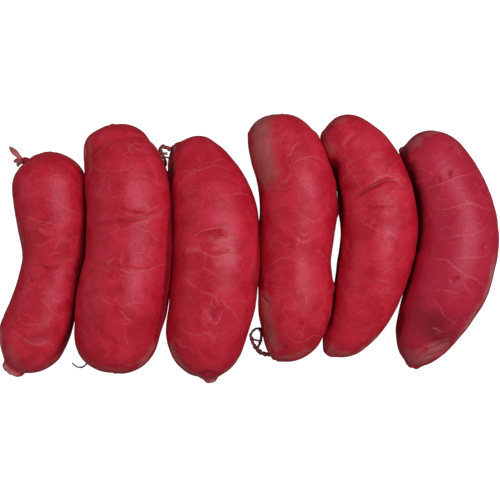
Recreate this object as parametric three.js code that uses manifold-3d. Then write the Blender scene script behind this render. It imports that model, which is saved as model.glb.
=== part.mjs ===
// A string of six short, plump sausage links in one natural casing. The string is folded in a
// zigzag and lies flat, so the links rest side by side and touch. Between two links the casing is
// empty and twisted to a thin strand, which runs through the hollow below two flanks that touch.
//
// X runs along the row, Y along the links, Z up. The origin is on the table, under the middle of
// the string's bounding box. Lengths are in millimetres.
import * as THREE from "three";
import { mergeVertices } from "three/addons/utils/BufferGeometryUtils.js";
import Module from "manifold-3d";

const wasm = await Module();
wasm.setup();

// Driving dimensions of a link as it lies.
const AIR = 0.5; // between flanks that press on each other
const FLATNESS = 0.95; // height over width
const SINK = 0.7; // of the round underside pressed flat by the table
const PRESS_SOFTNESS = 0.5; // rounding where a pressed flank starts
const LINK_SIDES = 26;
const LINK_RINGS = 34;
const NUB_ROUNDING = 0.8; // at the tip of an end, where the section grows from nothing
const DENTS_FROM = 15; // height where dents begin to show on a flank
const DENTS_FULL = 30;

// Driving dimensions of the empty casing.
const STRAND_RADIUS = 0.6;
const THREAD_RADIUS = 0.4;
const STRAND_SIDES = 6;
const STEPS_PER_POINT = 2; // along a run, from one point of its route to the next
const SCRAP_SIDES = 8;
const SCRAP_RINGS = 8;

// How finely a middle line and an edge are measured.
const ROUTE_SAMPLES = 600;
const EDGE_SAMPLES = 80;

// Each station of a link is [x, y, width] on its middle line, from the top end to the bottom end.
// The first and last are the gathers, where the casing closes. An end has the height of its gather
// above the table. Its dome closes over `reach` times the link's radius, and `power` is 2 for a
// round dome, less for a pointed one and more for a blunt one. A nub of casing stands out there.
// A dent is broad and shallow, on the upper side. A scrap is loose casing that is part of the link.
const LINKS = [
  {
    name: "link_1",
    top: { height: 15, reach: 0.85, power: 1.9, nubRadius: 1.5, nubLength: 0 },
    bottom: { height: 13, reach: 1.1, power: 1.8, nubRadius: 5.2, nubLength: 2.4 },
    stations: [
      [-96.8, 45.8, 31.2],
      [-95, 31, 34.6],
      [-93.3, 11.8, 33.4],
      [-92.9, -5.6, 29.6],
      [-98, -25.8, 30.6],
      [-103.8, -43, 32.6],
      [-113.8, -58.2, 26.8],
    ],
    dents: [{ x: -99, y: -9, radius: 6, depth: 0.9 }],
    // The knot that closes the free end, with two short lobes and a flat leaf of casing.
    scraps: [
      { from: [-102.5, 39.6, 17], to: [-109.2, 41.9, 17.6], halfWidth: 1.5, halfHeight: 1.4 },
      { from: [-106.8, 41.3, 17.4], to: [-111.4, 41.4, 17.4], halfWidth: 1.1, halfHeight: 0.9 },
      { from: [-106.6, 41, 17.4], to: [-110, 39.2, 17.2], halfWidth: 0.9, halfHeight: 0.8 },
      { from: [-107.4, 40.7, 17.7], to: [-114.2, 48.5, 18.6], halfWidth: 1, halfHeight: 0.5 },
    ],
  },
  {
    name: "link_2",
    top: { height: 14, reach: 0.65, power: 2.4, nubRadius: 2, nubLength: 0 },
    bottom: { height: 17, reach: 0.95, power: 2.4, nubRadius: 1.8, nubLength: 0 },
    stations: [
      [-65, 58.6, 28.2],
      [-63, 46.5, 32.2],
      [-59.6, 37.6, 38.4],
      [-56.6, 24, 41.4],
      [-56.8, 0, 41],
      [-60, -23.5, 43.8],
      [-62.5, -37, 40],
      [-64.6, -57.2, 36.4],
    ],
    dents: [
      { x: -60, y: 12.5, radius: 4.5, depth: 1.2 },
      { x: -68, y: -21, radius: 6, depth: 0.8 },
    ],
    scraps: [],
  },
  {
    name: "link_3",
    top: { height: 13.5, reach: 0.95, power: 2.2, nubRadius: 2.2, nubLength: 1.6 },
    bottom: { height: 13, reach: 0.95, power: 2.1, nubRadius: 3.2, nubLength: 3 },
    stations: [
      [-36.4, 49.8, 28.6],
      [-27.2, 40.6, 30.8],
      [-21.2, 29.8, 36.6],
      [-16.5, 14.1, 41],
      [-16, -4.7, 41.6],
      [-18, -23.5, 41.2],
      [-20.8, -39.9, 38],
      [-19, -62.6, 28],
    ],
    dents: [
      { x: -17, y: 1.5, radius: 5.5, depth: 1.1 },
      { x: -15, y: -32, radius: 4.5, depth: 0.9 },
    ],
    scraps: [],
  },
  {
    name: "link_4",
    top: { height: 15, reach: 0.8, power: 2.3, nubRadius: 2, nubLength: 0 },
    bottom: { height: 13, reach: 1.1, power: 1.8, nubRadius: 2, nubLength: 0.6 },
    stations: [
      [14.2, 63.6, 30],
      [14.6, 52, 32.6],
      [20.4, 37.6, 36.4],
      [22.6, 24, 37.4],
      [21.4, 9, 35.8],
      [20.5, -6, 33.8],
      [21.2, -24, 36.6],
      [19.4, -37.2, 31.6],
      [12, -52.3, 24.2],
    ],
    dents: [{ x: 12, y: -13, radius: 6, depth: 0.9 }],
    // The end of the casing, folded down at the top left corner.
    scraps: [
      { from: [3.4, 53, 16], to: [-1.6, 55.4, 15], halfWidth: 1.5, halfHeight: 1.2 },
    ],
  },
  {
    name: "link_5",
    top: { height: 14, reach: 0.95, power: 2.4, nubRadius: 2.4, nubLength: 0.8 },
    bottom: { height: 10, reach: 1.1, power: 1.8, nubRadius: 3, nubLength: 1 },
    stations: [
      [33.5, 54.9, 28],
      [49.8, 46.4, 30.6],
      [58.1, 30.5, 35.4],
      [59.5, 22.5, 37.2],
      [60.8, 11, 36.2],
      [57.9, -9.4, 34.8],
      [52.3, -27.6, 29.6],
      [46, -38.8, 24],
      [36.4, -50, 18.4],
    ],
    dents: [{ x: 62, y: 31, radius: 5, depth: 1.2 }],
    scraps: [],
  },
  {
    name: "link_6",
    top: { height: 14, reach: 0.95, power: 2.5, nubRadius: 1.2, nubLength: 2.2 },
    bottom: { height: 9, reach: 1.2, power: 1.9, nubRadius: 3.4, nubLength: 1.2 },
    stations: [
      [70.3, 47.7, 24.4],
      [86, 39.8, 33],
      [94.5, 23.5, 35.2],
      [97.6, 4.7, 37.6],
      [93.3, -14.1, 38],
      [87.6, -28.4, 34.2],
      [82.6, -39.8, 28.2],
      [77.6, -56, 21.4],
    ],
    dents: [{ x: 82, y: -36, radius: 7, depth: 1.8 }],
    scraps: [],
  },
];

// Each run of a strand goes through [x, y, z]. The first run of a strand leads from the gather of
// one link to that of the next, and the others are ends and folds of casing that hang on it.
const STRANDS = [
  {
    name: "twist_1_2",
    radius: THREAD_RADIUS,
    runs: [
      [
        [-112.6, -56.9, 7.1],
        [-110.6, -55.6, 4.2],
        [-107.2, -53.4, 2.2],
        [-104, -52, 1.3],
        [-101, -51.6, 1.1],
        [-96.5, -49.2, 1.1],
        [-92.2, -43, 1.1],
        [-89.4, -36, 1.1],
        [-86.6, -31, 1.1],
        [-83, -28.6, 1.1],
        [-79, -29.6, 1.1],
        [-75.6, -33.6, 1.1],
        [-73.8, -40, 1.1],
        [-73, -46, 1.1],
        [-71, -50.5, 1.5],
        [-68.4, -53.6, 3.8],
        [-66.6, -55.2, 7.6],
      ],
      [
        [-73.1, -45.4, 1.1],
        [-74.6, -49, 1],
        [-77.4, -52.6, 0.8],
        [-80.2, -55.6, 0.6],
        [-82.3, -57.3, 0.5],
        [-84.9, -57.2, 0.5],
        [-87.4, -55.3, 0.5],
      ],
    ],
  },
  {
    name: "twist_2_3",
    radius: STRAND_RADIUS,
    runs: [
      [
        [-64.8, 57.4, 5],
        [-62.8, 57, 3],
        [-59.4, 55.6, 1.6],
        [-55, 52.4, 1.3],
        [-50.8, 47.6, 1.3],
        [-47.4, 42.8, 1.4],
        [-44.6, 40, 2.8],
        [-42.4, 39.8, 5.6],
        [-41, 40.6, 9],
        [-40.6, 41.8, 12],
        [-41.1, 43.4, 14],
        [-42.1, 45.6, 15],
        [-42.8, 47.4, 15.4],
        [-42.4, 48.5, 15.5],
        [-41.2, 48.8, 15.4],
        [-39.4, 48.2, 15],
        [-37.9, 47.7, 14.6],
      ],
      [
        [-42, 45.5, 15],
        [-40.6, 45.6, 15],
        [-39.4, 45.5, 14.9],
      ],
      [
        [-41.3, 43.8, 14.2],
        [-40, 43.9, 14.2],
        [-38.7, 43.6, 14.2],
      ],
    ],
  },
  {
    name: "twist_3_4",
    radius: STRAND_RADIUS,
    runs: [
      [
        [-18.2, -60.8, 8.8],
        [-16.8, -59, 5.6],
        [-14, -55.4, 2.6],
        [-10.6, -50, 1.4],
        [-7.4, -43, 1.2],
        [-5, -35, 1.2],
        [-3, -25, 1.2],
        [0.8, -16.6, 1.2],
        [4.8, -14.6, 1.2],
        [8.2, -18.6, 1.2],
        [9.2, -27, 1.2],
        [8.4, -34.4, 1.4],
        [6.4, -36.6, 3],
        [5, -38, 5.6],
        [4.4, -38, 7.8],
        [3.2, -37.7, 8.5],
        [1.7, -38.3, 8.4],
        [0.5, -39.7, 8.2],
        [-0.1, -41.2, 8.2],
        [0.4, -43.3, 8.2],
        [1.7, -46, 8.2],
        [3.3, -48.1, 8.2],
        [5, -49.4, 8.3],
        [7.2, -50.1, 8.4],
        [9.4, -50.4, 8.6],
      ],
      [
        [4.4, -38.2, 7.8],
        [5, -39.6, 8.2],
        [5.1, -41.2, 8.4],
        [4.9, -43.2, 8.5],
        [4.2, -45.2, 8.5],
        [3.2, -47.2, 8.3],
      ],
      [
        [0.2, -41.6, 8.2],
        [1.4, -42.9, 8.3],
        [3, -43.5, 8.4],
        [4.8, -43.4, 8.5],
      ],
    ],
  },
  {
    name: "twist_4_5",
    radius: STRAND_RADIUS,
    runs: [
      [
        [12.6, 61.2, 4],
        [15.6, 60.8, 2],
        [20.4, 58.8, 1.4],
        [26.4, 53.4, 1.3],
        [31, 47.6, 1.3],
        [34.2, 44, 1.3],
        [37.2, 44.6, 1.3],
        [37.6, 48, 1.4],
        [36.6, 51, 2.2],
        [35.2, 53.4, 4.2],
      ],
    ],
  },
  {
    name: "twist_5_6",
    radius: STRAND_RADIUS,
    runs: [
      [
        [38.4, -49.2, 5.5],
        [40.4, -49.4, 3.4],
        [44, -48.8, 1.8],
        [51.4, -45.2, 1.3],
        [58.6, -39, 1.2],
        [63.4, -30, 1.2],
        [67.6, -20.5, 1.2],
        [71.2, -14.8, 1.2],
        [75, -15.4, 1.2],
        [77, -20.6, 1.2],
        [76.4, -27.4, 1.2],
        [74.4, -34.4, 1.2],
        [73, -41, 1.2],
        [73.8, -47.6, 1.6],
        [75.8, -51.4, 2.6],
        [77.4, -53.6, 4.2],
      ],
    ],
  },
];

// A smooth line through points. `at` gives the place a distance along it, with the level
// direction across the line and the one that points up from it.
function routeThrough(points) {
  const curve = new THREE.CatmullRomCurve3(points, false, "centripetal");
  const places = curve.getPoints(ROUTE_SAMPLES);
  const distances = [0];
  for (let i = 1; i <= ROUTE_SAMPLES; i++) {
    distances.push(distances[i - 1] + places[i].distanceTo(places[i - 1]));
  }
  const length = distances[ROUTE_SAMPLES];
  const shareAt = (distance) => {
    let i = 1;
    while (i < ROUTE_SAMPLES && distances[i] < distance) i++;
    const step = distances[i] - distances[i - 1];
    return (i - 1 + (distance - distances[i - 1]) / step) / ROUTE_SAMPLES;
  };
  const at = (distance) => {
    const share = THREE.MathUtils.clamp(shareAt(distance), 0, 1);
    const along = curve.getTangent(share);
    const across = new THREE.Vector3().crossVectors(along, new THREE.Vector3(0, 0, 1)).normalize();
    const up = new THREE.Vector3().crossVectors(across, along).normalize();
    return { share, point: curve.getPoint(share), across, up };
  };
  return { length, at };
}

// A closed round body along a route. `sectionAt` gives half the width and half the height at a
// distance along the route, and both are zero at its two ends. Rings stand closer near the ends.
function bodyAlong(route, sectionAt, sides, rings) {
  const profile = [];
  for (let i = 0; i <= rings; i++) {
    profile.push(new THREE.Vector2(i === 0 || i === rings ? 0 : 1, i));
  }
  const geometry = new THREE.LatheGeometry(profile, sides);
  const position = geometry.getAttribute("position");
  for (let i = 0; i < position.count; i++) {
    const ring = Math.round(position.getY(i));
    const distance = (route.length / 2) * (1 - Math.cos((Math.PI * ring) / rings));
    const { point, across, up } = route.at(distance);
    const { halfWidth, halfHeight } = sectionAt(distance);
    point.addScaledVector(across, position.getX(i) * halfWidth);
    point.addScaledVector(up, position.getZ(i) * halfHeight);
    position.setXYZ(i, point.x, point.y, point.z);
  }
  return geometry;
}

// A number that follows a list of values smoothly, by the share of the way from first to last.
function smoothValue(values, share) {
  const line = new THREE.CatmullRomCurve3(values.map((v) => new THREE.Vector3(v, 0, 0)));
  return line.getPoint(share).x;
}

// The share of a link's full width that is left near an end, with the nub of gathered casing.
function endRadius(distance, fullRadius, end) {
  const into = THREE.MathUtils.clamp((distance - end.nubLength) / (end.reach * fullRadius), 0, 1);
  const dome = fullRadius * (1 - (1 - into) ** end.power) ** (1 / end.power);
  const tip = THREE.MathUtils.clamp(distance / NUB_ROUNDING, 0, 1);
  const nub = end.nubRadius * Math.sqrt(1 - (1 - tip) ** 2);
  return Math.max(dome, nub);
}

// The middle line of a link and its section along it.
function linkForm(link) {
  const last = link.stations.length - 1;
  const widths = link.stations.map(([, , width]) => width);
  const points = link.stations.map(([x, y, width], i) => {
    const resting = (width / 2) * FLATNESS - SINK;
    const z = i === 0 ? link.top.height : i === last ? link.bottom.height : resting;
    return new THREE.Vector3(x, y, z);
  });
  const route = routeThrough(points);
  const sectionAt = (distance) => {
    const fullRadius = smoothValue(widths, route.at(distance).share) / 2;
    const fromTop = endRadius(distance, fullRadius, link.top);
    const fromBottom = endRadius(route.length - distance, fullRadius, link.bottom);
    const halfWidth = Math.min(fromTop, fromBottom);
    return { halfWidth, halfHeight: halfWidth * FLATNESS };
  };
  return { route, sectionAt };
}

// The edge of a link seen from above, as x for a given y. It has no value past the link's ends.
function edgeOf(form, side) {
  const edge = [];
  for (let i = 0; i <= EDGE_SAMPLES; i++) {
    const distance = (form.route.length * i) / EDGE_SAMPLES;
    const { point, across } = form.route.at(distance);
    const reach = side * form.sectionAt(distance).halfWidth;
    edge.push([point.x - across.x * reach, point.y - across.y * reach]);
  }
  return (y) => {
    for (let i = 1; i < edge.length; i++) {
      const [x0, y0] = edge[i - 1];
      const [x1, y1] = edge[i];
      if ((y0 - y) * (y1 - y) <= 0 && y0 !== y1) return x0 + ((x1 - x0) * (y - y0)) / (y1 - y0);
    }
    return undefined;
  };
}

// Moves x to the inner side of a wall, with a soft bend instead of a corner.
function pressedX(x, wall, side) {
  const past = (side * (x - wall)) / PRESS_SOFTNESS;
  return x - side * PRESS_SOFTNESS * Math.log1p(Math.exp(past));
}

// The upright wall where two neighbours meet, halfway between their edges.
function wallBetween(leftForm, rightForm) {
  const leftEdge = edgeOf(leftForm, 1);
  const rightEdge = edgeOf(rightForm, -1);
  return (y) => {
    const a = leftEdge(y);
    const b = rightEdge(y);
    return a === undefined || b === undefined ? undefined : (a + b) / 2;
  };
}

function linkGeometry(link, form, leftWall, rightWall) {
  const geometry = bodyAlong(form.route, form.sectionAt, LINK_SIDES, LINK_RINGS);
  const position = geometry.getAttribute("position");
  for (let i = 0; i < position.count; i++) {
    let x = position.getX(i);
    const y = position.getY(i);
    let z = position.getZ(i);
    for (const dent of link.dents) {
      const away = Math.hypot(x - dent.x, y - dent.y) / dent.radius;
      const facingUp = THREE.MathUtils.smoothstep(z, DENTS_FROM, DENTS_FULL);
      z -= dent.depth * facingUp * Math.exp(-away * away);
    }
    const left = leftWall && leftWall(y);
    const right = rightWall && rightWall(y);
    if (left !== undefined) x = pressedX(x, left + AIR / 2, -1);
    if (right !== undefined) x = pressedX(x, right - AIR / 2, 1);
    position.setXYZ(i, x, y, Math.max(z, 0));
  }
  return geometry;
}

function pointsOf(list) {
  return list.map(([x, y, z]) => new THREE.Vector3(x, y, z));
}

// A run of twisted casing, cut square at both ends.
function runGeometry(points, radius) {
  const path = new THREE.CatmullRomCurve3(pointsOf(points), false, "centripetal");
  const outline = new THREE.Shape();
  outline.absarc(0, 0, radius, 0, 2 * Math.PI);
  return new THREE.ExtrudeGeometry(outline, {
    steps: STEPS_PER_POINT * (points.length - 1),
    curveSegments: STRAND_SIDES / 2,
    bevelEnabled: false,
    extrudePath: path,
  });
}

// A round or flat scrap of casing, pointed at both ends.
function scrapGeometry(scrap) {
  const route = routeThrough(pointsOf([scrap.from, scrap.to]));
  const sectionAt = (distance) => {
    const full = Math.sqrt(Math.abs(Math.sin((Math.PI * distance) / route.length)));
    return { halfWidth: scrap.halfWidth * full, halfHeight: scrap.halfHeight * full };
  };
  return bodyAlong(route, sectionAt, SCRAP_SIDES, SCRAP_RINGS);
}

function toSolid(geometry) {
  geometry.deleteAttribute("normal");
  geometry.deleteAttribute("uv");
  const merged = mergeVertices(geometry, 1e-4);
  const mesh = new wasm.Mesh({
    numProp: 3,
    vertProperties: merged.getAttribute("position").array,
    triVerts: new Uint32Array(merged.index.array),
  });
  return new wasm.Manifold(mesh);
}

function toGeometry(solid) {
  const mesh = solid.getMesh();
  const geometry = new THREE.BufferGeometry();
  geometry.setAttribute("position", new THREE.BufferAttribute(mesh.vertProperties, 3));
  geometry.setIndex(new THREE.BufferAttribute(mesh.triVerts, 1));
  geometry.computeVertexNormals();
  return geometry;
}

const casingRed = new THREE.MeshStandardMaterial({ color: 0xa81f33, roughness: 0.45, metalness: 0 });
const casingDried = new THREE.MeshStandardMaterial({ color: 0x4a1318, roughness: 0.6, metalness: 0 });

const string = new THREE.Group();

function addPiece(name, solid, material) {
  const mesh = new THREE.Mesh(toGeometry(solid), material.clone());
  mesh.name = name;
  string.add(mesh);
}

const forms = LINKS.map(linkForm);
const walls = forms.slice(1).map((form, i) => wallBetween(forms[i], form));
LINKS.forEach((link, i) => {
  const body = toSolid(linkGeometry(link, forms[i], walls[i - 1], walls[i]));
  const scraps = link.scraps.map((scrap) => toSolid(scrapGeometry(scrap)));
  addPiece(link.name, wasm.Manifold.union([body, ...scraps]), casingRed);
});
STRANDS.forEach((strand) => {
  const runs = strand.runs.map((points) => toSolid(runGeometry(points, strand.radius)));
  addPiece(strand.name, wasm.Manifold.union(runs), casingDried);
});

// The origin goes on the table, under the middle of the bounding box.
const box = new THREE.Box3().setFromObject(string);
const middle = box.getCenter(new THREE.Vector3());
string.children.forEach((mesh) => mesh.geometry.translate(-middle.x, -middle.y, -box.min.z));

export default string;
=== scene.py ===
# A string of six plump sausages, folded to and fro on a pale table and seen from straight above
import random

import bmesh
import bpy
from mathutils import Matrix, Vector
from mathutils.bvhtree import BVHTree


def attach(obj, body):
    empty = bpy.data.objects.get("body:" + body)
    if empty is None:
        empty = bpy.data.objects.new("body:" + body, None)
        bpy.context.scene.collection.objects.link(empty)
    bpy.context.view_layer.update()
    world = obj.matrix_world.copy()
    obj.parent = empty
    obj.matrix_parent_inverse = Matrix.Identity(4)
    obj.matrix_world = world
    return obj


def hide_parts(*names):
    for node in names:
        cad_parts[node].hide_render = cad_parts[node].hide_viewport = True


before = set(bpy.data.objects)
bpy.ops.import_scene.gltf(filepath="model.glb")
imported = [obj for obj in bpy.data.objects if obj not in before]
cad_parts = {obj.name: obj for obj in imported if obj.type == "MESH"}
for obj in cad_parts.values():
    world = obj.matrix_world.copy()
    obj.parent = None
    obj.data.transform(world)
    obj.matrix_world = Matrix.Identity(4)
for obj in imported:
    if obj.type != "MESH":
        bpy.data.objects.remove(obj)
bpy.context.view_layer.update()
mm = 0.001


def link(name, data):
    piece = bpy.data.objects.new(name, data)
    bpy.context.scene.collection.objects.link(piece)
    return piece


# The view

view = {
    "height": 0.45,  # metres from the table up to the lens
    "level": 0.018,  # the height at which the width below is framed, half-way up the sausages
    "width": 0.235,
    "middle": (0.0007, -0.0006),  # the point of the table under the lens
    "sensor": 36.0,
}


def makeCamera():
    camera = bpy.data.cameras.new("overheadCamera")
    camera.sensor_width = view["sensor"]
    camera.lens = view["sensor"] * (view["height"] - view["level"]) / view["width"]
    camera.clip_start = 0.01
    holder = link("overheadCamera", camera)
    holder.location = (*view["middle"], view["height"])
    bpy.context.scene.camera = holder


def lineOfSight(x, y):  # the ray from the lens through a place read off the photo, in millimetres
    eye = Vector((*view["middle"], view["height"]))
    target = Vector((x * mm + view["middle"][0], y * mm + view["middle"][1], view["level"]))
    return eye, (target - eye).normalized()


rowShift = (1.06, -0.54)  # from the middle of the row, where routes and ends are measured, to the origin


def inFrame(x, y, z):
    return Vector((x + rowShift[0], y + rowShift[1], z)) * mm


# Helpers for node trees and meshes

def feed(tree, node, feeds):
    for key, value in feeds.items():
        if isinstance(value, bpy.types.NodeSocket):
            tree.links.new(value, node.inputs[key])
        else:
            node.inputs[key].default_value = value


def put(tree, kind, feeds=None, **options):
    node = tree.nodes.new(kind)
    for name, value in options.items():
        setattr(node, name, value)
    feed(tree, node, feeds or {})
    return node


def outlet(tree, kind, feeds=None, **options):  # the first outlet of a new node
    return put(tree, kind, feeds, **options).outputs[0]


def calc(tree, operation, *values):
    return outlet(tree, "ShaderNodeMath", dict(enumerate(values)), operation=operation)


def times(tree, first, second):
    return calc(tree, "MULTIPLY", first, second)


def plus(tree, first, second):
    return calc(tree, "ADD", first, second)


def vec(tree, operation, *values):
    node = put(tree, "ShaderNodeVectorMath", dict(enumerate(values)), operation=operation)
    return node.outputs["Value" if operation in ("LENGTH", "DOT_PRODUCT") else "Vector"]


def stretch(tree, vector, scale):  # a vector times one number
    return outlet(tree, "ShaderNodeVectorMath", {0: vector, "Scale": scale}, operation="SCALE")


def ease(tree, value, low, high, start=0.0, end=1.0):  # a soft step from start to end
    feeds = {"Value": value, "From Min": low, "From Max": high, "To Min": start, "To Max": end}
    return put(tree, "ShaderNodeMapRange", feeds, interpolation_type="SMOOTHSTEP").outputs["Result"]


def cloud(tree, vector, scale, detail=2.0, roughness=0.5, distortion=0.0):
    feeds = {"Vector": vector, "Scale": scale, "Detail": detail, "Roughness": roughness}
    return outlet(tree, "ShaderNodeTexNoise", {**feeds, "Distortion": distortion})


def unrest(tree, vector, scale, *rest):  # noise to both sides of zero
    return calc(tree, "SUBTRACT", cloud(tree, vector, scale, *rest), 0.5)


def wander(tree, place, scale, detail, reach):  # a place moved to and fro by noise
    noise = put(tree, "ShaderNodeTexNoise", {"Vector": place, "Scale": scale, "Detail": detail})
    drift = vec(tree, "SUBTRACT", noise.outputs["Color"], (0.5, 0.5, 0.5))
    return vec(tree, "ADD", place, stretch(tree, drift, reach))


def blend(tree, share, first, second):  # one colour laid over another
    node = put(tree, "ShaderNodeMix", {0: share, 6: first, 7: second}, data_type="RGBA")
    return node.outputs[2]


def sockets(form, *labels):
    return [(label, form) for label in labels]


def newTree(kind, name, inputs, outputs):
    tree = bpy.data.node_groups.new(name, kind)
    for label, form, *value in inputs:
        socket = tree.interface.new_socket(label, in_out="INPUT", socket_type="NodeSocket" + form)
        if value:
            socket.default_value = value[0]
    for label, form in outputs:
        tree.interface.new_socket(label, in_out="OUTPUT", socket_type="NodeSocket" + form)
    given = tree.nodes.new("NodeGroupInput").outputs
    result = tree.nodes.new("NodeGroupOutput").inputs
    return tree, given, result


def join(tree, outlet, inlet):
    tree.links.new(outlet, inlet)


def useGroup(tree, group, feeds):
    return put(tree, tree.bl_idname.replace("Tree", "Group"), feeds, node_tree=group).outputs


def setInputs(modifier, values):
    for item in modifier.node_group.interface.items_tree:
        if item.in_out == "INPUT" and item.name in values:
            modifier[item.identifier] = values[item.name]


def bakedMesh(source, name):  # the evaluated object as a plain mesh
    bpy.context.view_layer.update()
    evaluated = source.evaluated_get(bpy.context.evaluated_depsgraph_get())
    mesh = bpy.data.meshes.new_from_object(evaluated)
    mesh.name = name
    return mesh


# Colours and finishes

casing = {  # the filled casing: colours, then how strongly each shows and how the skin shines
    "deep": (0.45, 0.0052, 0.0185, 1),
    "crimson": (0.55, 0.0150, 0.0370, 1),
    "rose": (0.57, 0.032, 0.062, 1),
    "dull": (0.37, 0.0125, 0.042, 1),
    "vein": (0.62, 0.135, 0.175, 1),
    # painted shade for the grooves of creases
    "crease": (0.24, 0.004, 0.012, 1),
    "dried": (0.40, 0.105, 0.105, 1),
    "pressed": (0.010, 0.0005, 0.001, 1),  # painted shade: near black where two sausages lie close and shade each other
    "pale": (0.62, 0.27, 0.27, 1),
    "roughness": (0.34, 0.50),
    "mottleSize": 9.0,  # millimetres
    "webSize": 13.0,
    "grainSize": 0.7,
    "flecks": 0.20,
    "dust": 0.34,
    "dusty": (0.50, 0.68),  # the part of the grain that shows as dust
    "broken": (0.32, 0.66, 0.35, 1.0),  # how the grain breaks up veins and pale patches
    "speckle": (0.30, 0.62, 0.70, 1.0),  # and the dimples the dried ones
    "webStrength": 0.20,
    # how strongly shade is painted into crease grooves
    "creaseShadeStrength": 0.6,
    # how strongly the painted shade between sausages shows
    "paintedShadeStrength": 0.97,
    "dryness": 0.15,  # how much rougher a dried patch is
    "grainHeight": 0.16,
    "dimpleHeight": 0.24,
    "veinHeight": 0.12,
    "bumpDistance": 1.1 * mm,
    "bumpStrength": 0.6,
    "softness": 0.10,
    "bleed": (1.0, 0.25, 0.18),
    "depth": 2.5 * mm,
    "shine": 0.30,
    "shineTint": (1.0, 0.78, 1.0, 1),
}

driedSkin = {  # the empty, twisted casing
    "dark": (0.085, 0.008, 0.011, 1),
    "light": (0.25, 0.040, 0.044, 1),
    "papery": (0.53, 0.120, 0.145, 1),
    "roughness": (0.45, 0.68),
    "mottleSize": 2.2,
    "grainSize": 0.35,
    "bumpDistance": 0.4 * mm,
    "bumpStrength": 0.7,
    "softness": 0.15,
    "depth": 1.0 * mm,
}

mottles = {
    "cloudy": (0.36, 0.64),  # the part of the noise that goes from one colour to the other
    "flecked": (0.52, 0.74),
    "grainy": (0.3, 0.7),
    "fleckScale": 3.4,  # to the mottle's
    "dimpleScale": 2.2,
}
vessels = {
    "driftScale": 110.0,
    "drift": 12 * mm,
    "squash": (0.75, 1.3, 0.9),
    "gapScale": 75.0,
    "gaps": (0.44, 0.62),
}


def mottleGroup():  # broad cloudy patches, small flecks and fine grain, shared by both casings
    inputs = [("Place", "Vector"), ("Mottle Size", "Float", 9.0), ("Grain Size", "Float", 0.7)]
    outputs = sockets("Float", "Mottle", "Flecks", "Grain", "Dimples")
    tree, given, result = newTree("ShaderNodeTree", "meatMottle", inputs, outputs)
    perMetre = calc(tree, "DIVIDE", 1000.0, given["Mottle Size"])
    broad = cloud(tree, given["Place"], perMetre, 3.0, 0.55, 0.4)
    join(tree, ease(tree, broad, *mottles["cloudy"]), result["Mottle"])
    small = cloud(tree, given["Place"], times(tree, perMetre, mottles["fleckScale"]), 2.0, 0.6)
    join(tree, ease(tree, small, *mottles["flecked"]), result["Flecks"])
    grainScale = calc(tree, "DIVIDE", 1000.0, given["Grain Size"])
    join(tree, cloud(tree, given["Place"], grainScale, 2.0, 0.6), result["Grain"])
    dimples = cloud(tree, given["Place"], times(tree, perMetre, mottles["dimpleScale"]))
    join(tree, dimples, result["Dimples"])
    return tree


def webGroup():  # a broken net of fine pale vessels that run mostly across the sausage
    inputs = [("Place", "Vector"), ("Web Size", "Float", 13.0), ("Thickness", "Float", 0.035)]
    tree, given, result = newTree("ShaderNodeTree", "vesselWeb", inputs, [("Web", "Float")])
    perMetre = calc(tree, "DIVIDE", 1000.0, given["Web Size"])
    moved = wander(tree, given["Place"], vessels["driftScale"], 2.0, vessels["drift"])
    place = vec(tree, "MULTIPLY", moved, vessels["squash"])
    feeds = {"Vector": place, "Scale": perMetre, "Randomness": 1.0}
    cells = put(tree, "ShaderNodeTexVoronoi", feeds, feature="DISTANCE_TO_EDGE")
    line = ease(tree, cells.outputs["Distance"], 0.0, given["Thickness"], 1.0, 0.0)
    gaps = ease(tree, cloud(tree, given["Place"], vessels["gapScale"]), *vessels["gaps"])
    join(tree, times(tree, line, gaps), result["Web"])
    return tree


def attribute(tree, name):
    return put(tree, "ShaderNodeAttribute", attribute_name=name).outputs["Fac"]


def newMaterial(name):
    material = bpy.data.materials.new(name)
    material.use_nodes = True
    tree = material.node_tree
    shader = tree.nodes["Principled BSDF"]
    place = tree.nodes.new("ShaderNodeTexCoord").outputs["Object"]
    return material, tree, shader, place


def finishSkin(tree, shader, colour, roughness, height, values):  # with light that sinks into the meat
    feeds = {"Height": height, "Distance": values["bumpDistance"], "Strength": values["bumpStrength"]}
    relief = outlet(tree, "ShaderNodeBump", feeds)
    feed(tree, shader, {"Base Color": colour, "Roughness": roughness, "Normal": relief,
                        "Subsurface Weight": values["softness"], "Subsurface Scale": values["depth"]})


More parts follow.
